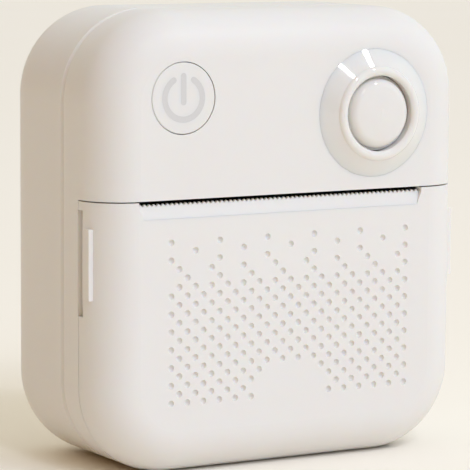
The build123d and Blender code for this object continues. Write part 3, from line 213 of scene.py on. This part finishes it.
def solderMask(name, look):
    # glass-epoxy board under green solder mask: glossy, with paler lines over the copper tracks
    material, tree, shader, place = startMaterial(name, look["surface"])
    ripple = addNode(tree, "ShaderNodeTexNoise", {"Scale": perMetre(look["ripple"])},
                     {"Vector": place})
    tracks = addNode(tree, "ShaderNodeTexWave",
                     {"Scale": lineStep * perMetre(look["spacing"]), "Distortion": look["bend"],
                      "bands_direction": "Z"},
                     {"Vector": place})
    edge = addNode(tree, "ShaderNodeMath", {"operation": "GREATER_THAN", 1: look["trackEdge"]},
                   {0: tracks.outputs["Fac"]})
    tint = addNode(tree, "ShaderNodeMix",
                   {"data_type": "RGBA", firstColour: linearFromHex(look["mask"]),
                    secondColour: linearFromHex(look["track"])},
                   {share: edge.outputs["Value"]})
    skin = addNode(tree, "ShaderNodeBump",
                   {"Strength": look["rippleStrength"], "Distance": look["rippleDepth"] * mm},
                   {"Height": ripple.outputs["Fac"]})
    tree.links.new(tint.outputs[mixed], shader.inputs["Base Color"])
    tree.links.new(skin.outputs["Normal"], shader.inputs["Normal"])
    return material


ribbonLook = {"film": "#B9762B", "copper": "#8A5420",
              "spacing": 5.655,  # mm; real tracks are under 1 mm apart, so drawn coarser to show
              "surface": {"IOR": 1.7, "Roughness": 0.2, "Coat Weight": 0.3}}


def polyimideFilm(name, look):
    # polyimide film over copper: amber and glossy, with a dark line for each track
    material, tree, shader, place = startMaterial(name, look["surface"])
    tracks = addNode(tree, "ShaderNodeTexWave",
                     {"Scale": lineStep * perMetre(look["spacing"]), "bands_direction": "X"},
                     {"Vector": place})
    tint = addNode(tree, "ShaderNodeMix",
                   {"data_type": "RGBA", firstColour: linearFromHex(look["film"]),
                    secondColour: linearFromHex(look["copper"])},
                   {share: tracks.outputs["Fac"]})
    tree.links.new(tint.outputs[mixed], shader.inputs["Base Color"])
    return material


foilLook = {"colour": "#B9BCC1", "shade": "#A2A5AB", "crease": 5.0, "creaseDetail": 3.0,
            "pull": 0.6, "creaseDepth": 0.12, "creaseStrength": 0.5,
            "smoothest": 0.22, "roughest": 0.4,
            "surface": {"Metallic": 0.75, "Coat Weight": 0.4}}


def pouchFoil(name, look):
    # aluminium foil laminate: dull silver, pulled into soft creases
    material, tree, shader, place = startMaterial(name, look["surface"])
    crease = addNode(tree, "ShaderNodeTexNoise",
                     {"Scale": perMetre(look["crease"]), "Detail": look["creaseDetail"],
                      "Distortion": look["pull"]},
                     {"Vector": place})
    tint = addNode(tree, "ShaderNodeMix",
                   {"data_type": "RGBA", firstColour: linearFromHex(look["colour"]),
                    secondColour: linearFromHex(look["shade"])},
                   {share: crease.outputs["Fac"]})
    gloss = addNode(tree, "ShaderNodeMapRange",
                    {"To Min": look["smoothest"], "To Max": look["roughest"]},
                    {"Value": crease.outputs["Fac"]})
    skin = addNode(tree, "ShaderNodeBump",
                   {"Strength": look["creaseStrength"], "Distance": look["creaseDepth"] * mm},
                   {"Height": crease.outputs["Fac"]})
    tree.links.new(tint.outputs[mixed], shader.inputs["Base Color"])
    tree.links.new(gloss.outputs["Result"], shader.inputs["Roughness"])
    tree.links.new(skin.outputs["Normal"], shader.inputs["Normal"])
    return material


# labels are about 0.15 mm thick and the core's card 0.5 mm: the layers are drawn coarser to show
paperLook = {"face": "#F3F2ED", "gap": "#D9D7CE", "layer": 2.199, "roughness": 0.55}
cardLook = {"face": "#B08A5C", "gap": "#8E6C45", "layer": 3.142, "roughness": 0.8}
fibreLook = {"IOR": 1.45, "unevenness": 0.4, "layerDetail": 1.0,
             "fibre": 0.6, "fibreDetail": 4.0, "fibreDepth": 0.02, "fibreStrength": 0.3}


def woundSheet(name, look, rollAxis):
    # paper or card wound on an axis along X: matt, with a ring at each layer on the cut ends
    material, tree, shader, place = startMaterial(
        name, {"IOR": fibreLook["IOR"], "Roughness": look["roughness"]})
    shifted = addNode(tree, "ShaderNodeVectorMath",
                      {"operation": "SUBTRACT", 1: (0, rollAxis[1], rollAxis[2])}, {0: place})
    flat = addNode(tree, "ShaderNodeVectorMath", {"operation": "MULTIPLY", 1: (0, 1, 1)},
                   {0: shifted.outputs["Vector"]})
    layers = addNode(tree, "ShaderNodeTexWave",
                     {"wave_type": "RINGS", "rings_direction": "SPHERICAL",
                      "Scale": lineStep * perMetre(look["layer"]),
                      "Distortion": fibreLook["unevenness"], "Detail": fibreLook["layerDetail"]},
                     {"Vector": flat.outputs["Vector"]})
    fibre = addNode(tree, "ShaderNodeTexNoise",
                    {"Scale": perMetre(fibreLook["fibre"]), "Detail": fibreLook["fibreDetail"]},
                    {"Vector": place})
    tint = addNode(tree, "ShaderNodeMix",
                   {"data_type": "RGBA", firstColour: linearFromHex(look["gap"]),
                    secondColour: linearFromHex(look["face"])},
                   {share: layers.outputs["Fac"]})
    skin = addNode(tree, "ShaderNodeBump",
                   {"Strength": fibreLook["fibreStrength"],
                    "Distance": fibreLook["fibreDepth"] * mm},
                   {"Height": fibre.outputs["Fac"]})
    tree.links.new(tint.outputs[mixed], shader.inputs["Base Color"])
    tree.links.new(skin.outputs["Normal"], shader.inputs["Normal"])
    return material


print("dressing the packed nodes")
rollLow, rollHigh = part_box("label_roll")
rollAxis = (Vector(rollLow) + Vector(rollHigh)) / 2

finishes = [
    (mouldedAbs("warmWhiteAbs_moulded", mouldedLook),
     ["rear_shell", "front_shell", "paper_door", "tear_bar", "power_button"]),
    (polishedAbs("warmWhiteAbs_polished", polishedLook), ["button_ring", "feed_button"]),
    (mouldedAbs("blackAbs_moulded", innerLooks["blackAbs"]),
     ["paper_bay", "left_roll_holder", "right_roll_holder", "power_switch", "feed_switch",
      "power_switch_plunger", "feed_switch_plunger", "paper_sensor", "door_sensor"]),
    (mouldedAbs("naturalAcetal_moulded", innerLooks["naturalAcetal"]),
     ["platen_gear", "idler_gear", "platen_bushings", "head_connector", "ribbon_connector",
      "battery_connector"]),
    (mouldedAbs("epoxy_moulded", innerLooks["mouldedEpoxy"]), ["main_chip"]),
    (mouldedAbs("siliconeRubber_ground", innerLooks["groundRubber"]), ["platen_roller"]),
    (workedMetal("mildSteel_zincPlated", steelLook),
     ["mechanism_frame", "stepper_motor", "usb_c_port", "shell_screws", "mechanism_screws",
      "bay_screws", "board_screws", "motor_screws"]),
    (workedMetal("carbonSteel_ground", groundLook),
     ["platen_shaft", "motor_shaft", "motor_pinion", "idler_axle", "head_pivot_pin",
      "hinge_pins", "head_springs"]),
    (padPrintedInk("greyInk_padPrinted", inkLook), ["power_symbol"]),
    (workedMetal("aluminium_extruded", aluminiumLook), ["head_heat_sink"]),
    (workedMetal("nickel_plated", nickelLook), ["door_magnet"]),
    (mouldedAbs("alumina_glazed", innerLooks["alumina"]), ["thermal_head"]),
    (solderMask("glassEpoxy_solderMask", maskLook), ["main_board"]),
    (polyimideFilm("polyimide_film", ribbonLook), ["head_ribbon"]),
    (pouchFoil("foilLaminate_pressed", foilLook), ["battery"]),
    (mouldedAbs("redPvc_extruded", innerLooks["redPvc"]), ["battery_lead_red"]),
    (mouldedAbs("blackPvc_extruded", innerLooks["blackPvc"]), ["battery_lead_black"]),
    (woundSheet("thermalPaper_wound", paperLook, rollAxis), ["label_roll"]),
    (woundSheet("kraftCard_wound", cardLook, rollAxis), ["roll_core"]),
]
for material, names in finishes:
    for name in names:
        node = nodes[name]
        node.data.materials.clear()
        node.data.materials.append(material)

# Camera, at the photograph's angle
cameraLook = {
    "place": (-279.88, -478.67, 109.38),  # mm
    "azimuth": 30.24, "elevation": 6.92, "roll": -0.31,  # degrees
    "lens": 220.76, "sensor": 36,  # mm
    "nearest": 0.01, "farthest": 60,  # metres
}
azimuth = math.radians(cameraLook["azimuth"])
elevation = math.radians(cameraLook["elevation"])
roll = math.radians(cameraLook["roll"])
forward = Vector((math.sin(azimuth) * math.cos(elevation),
                  math.cos(azimuth) * math.cos(elevation),
                  -math.sin(elevation)))
right = forward.cross(Vector((0, 0, 1))).normalized()
down = forward.cross(right)
rightTurned = math.cos(roll) * right + math.sin(roll) * down
downTurned = -math.sin(roll) * right + math.cos(roll) * down
cameraData = bpy.data.cameras.new("camera")
cameraData.lens = cameraLook["lens"]
cameraData.sensor_width = cameraLook["sensor"]
cameraData.clip_start, cameraData.clip_end = cameraLook["nearest"], cameraLook["farthest"]
camera = bpy.data.objects.new("camera", cameraData)
bpy.context.scene.collection.objects.link(camera)
turn = Matrix((rightTurned, -downTurned, -forward)).transposed().to_4x4()
camera.matrix_world = Matrix.Translation(Vector(cameraLook["place"]) * mm) @ turn
bpy.context.scene.camera = camera
print("camera placed")

# Floor: a plain pale sheet, far wider than the picture; size in metres, cloud in millimetres
floorLook = {"size": 40.0, "colour": "#FCF6EA", "shade": "#FBF4E6", "cloud": 250.0,
             "roughness": 0.8}
bpy.ops.mesh.primitive_plane_add(size=floorLook["size"], location=(0, 0, 0))
floor = bpy.context.object
floor.name = "floor"
floorMaterial, tree, shader, place = startMaterial("paper_backdrop",
                                                   {"Roughness": floorLook["roughness"]})
cloud = addNode(tree, "ShaderNodeTexNoise", {"Scale": perMetre(floorLook["cloud"])},
                {"Vector": place})
tint = addNode(tree, "ShaderNodeMix",
               {"data_type": "RGBA", firstColour: linearFromHex(floorLook["colour"]),
                secondColour: linearFromHex(floorLook["shade"])},
               {share: cloud.outputs["Fac"]})
tree.links.new(tint.outputs[mixed], shader.inputs["Base Color"])
floor.data.materials.append(floorMaterial)

# Room: pale on the right and above, brown low on the left, which warms that side of the case
roomLook = {"right": "#FEFEF5", "left": "#9C7240", "ground": "#FDF6EA",
            "lean": 0.5, "from": -0.6, "to": 0.25, "strength": 0.82}
world = bpy.data.worlds.new("room")
bpy.context.scene.world = world
world.use_nodes = True
tree = world.node_tree
tree.nodes.clear()
direction = addNode(tree, "ShaderNodeTexCoord", {}).outputs["Generated"]
across = addNode(tree, "ShaderNodeVectorMath",
                 {"operation": "DOT_PRODUCT", 1: (1, 0, roomLook["lean"])}, {0: direction})
side = addNode(tree, "ShaderNodeMapRange",
               {"From Min": roomLook["from"], "From Max": roomLook["to"]},
               {"Value": across.outputs["Value"]})
wall = addNode(tree, "ShaderNodeMix",
               {"data_type": "RGBA", firstColour: linearFromHex(roomLook["left"]),
                secondColour: linearFromHex(roomLook["right"])},
               {share: side.outputs["Result"]})
height = addNode(tree, "ShaderNodeSeparateXYZ", {}, {"Vector": direction})
below = addNode(tree, "ShaderNodeMath", {"operation": "LESS_THAN", 1: 0.0},
                {0: height.outputs["Z"]})
room = addNode(tree, "ShaderNodeMix",  # below the horizon it carries the floor on
               {"data_type": "RGBA", secondColour: linearFromHex(roomLook["ground"])},
               {share: below.outputs["Value"], firstColour: wall.outputs[mixed]})
glow = addNode(tree, "ShaderNodeBackground", {"Strength": roomLook["strength"]},
               {"Color": room.outputs[mixed]})
addNode(tree, "ShaderNodeOutputWorld", {}, {"Surface": glow.outputs["Background"]})

# Lamps; distance and size in metres, spread in degrees
lampLooks = {
    "softFront": {"kind": "SUN", "toward": (0.22, -0.75, 0.62), "distance": 1.5,
                  "spread": 45.0, "power": 1.34, "colour": "#BFD3FF", "inGloss": False},
    "softLeft": {"kind": "SUN", "toward": (-0.5, 0.1, 0.85), "distance": 1.5,
                 "spread": 60.0, "power": 0.13, "colour": "#FFEFD8", "inGloss": False},
    "windowLeft": {"kind": "AREA", "toward": (-0.07, -0.72, 0.69), "distance": 0.9,
                   "size": (0.07, 0.03), "power": 0.5, "colour": "#FFFFFF", "inGloss": True},
    "windowRight": {"kind": "AREA", "toward": (0.385, -0.516, 0.765), "distance": 0.9,
                    "size": (0.07, 0.03), "power": 0.5, "colour": "#FFFFFF", "inGloss": True},
}
lampTarget = Vector((0, 0, 0.045))  # about the middle of the printer


def addLamp(name, look):
    lampData = bpy.data.lights.new(name, look["kind"])
    lampData.energy = look["power"]
    lampData.color = linearFromHex(look["colour"])[:3]
    if look["kind"] == "SUN":
        lampData.angle = math.radians(look["spread"])
    else:
        lampData.shape = "RECTANGLE"
        lampData.size, lampData.size_y = look["size"]
    lamp = bpy.data.objects.new(name, lampData)
    bpy.context.scene.collection.objects.link(lamp)
    lamp.visible_glossy = look["inGloss"]
    toward = Vector(look["toward"]).normalized()
    lamp.location = lampTarget + toward * look["distance"]
    lamp.rotation_mode = "QUATERNION"
    lamp.rotation_quaternion = toward.to_track_quat("Z", "Y")


for name, look in lampLooks.items():
    addLamp(name, look)
bpy.context.scene.view_settings.view_transform = "Standard"
print("floor and lights placed")
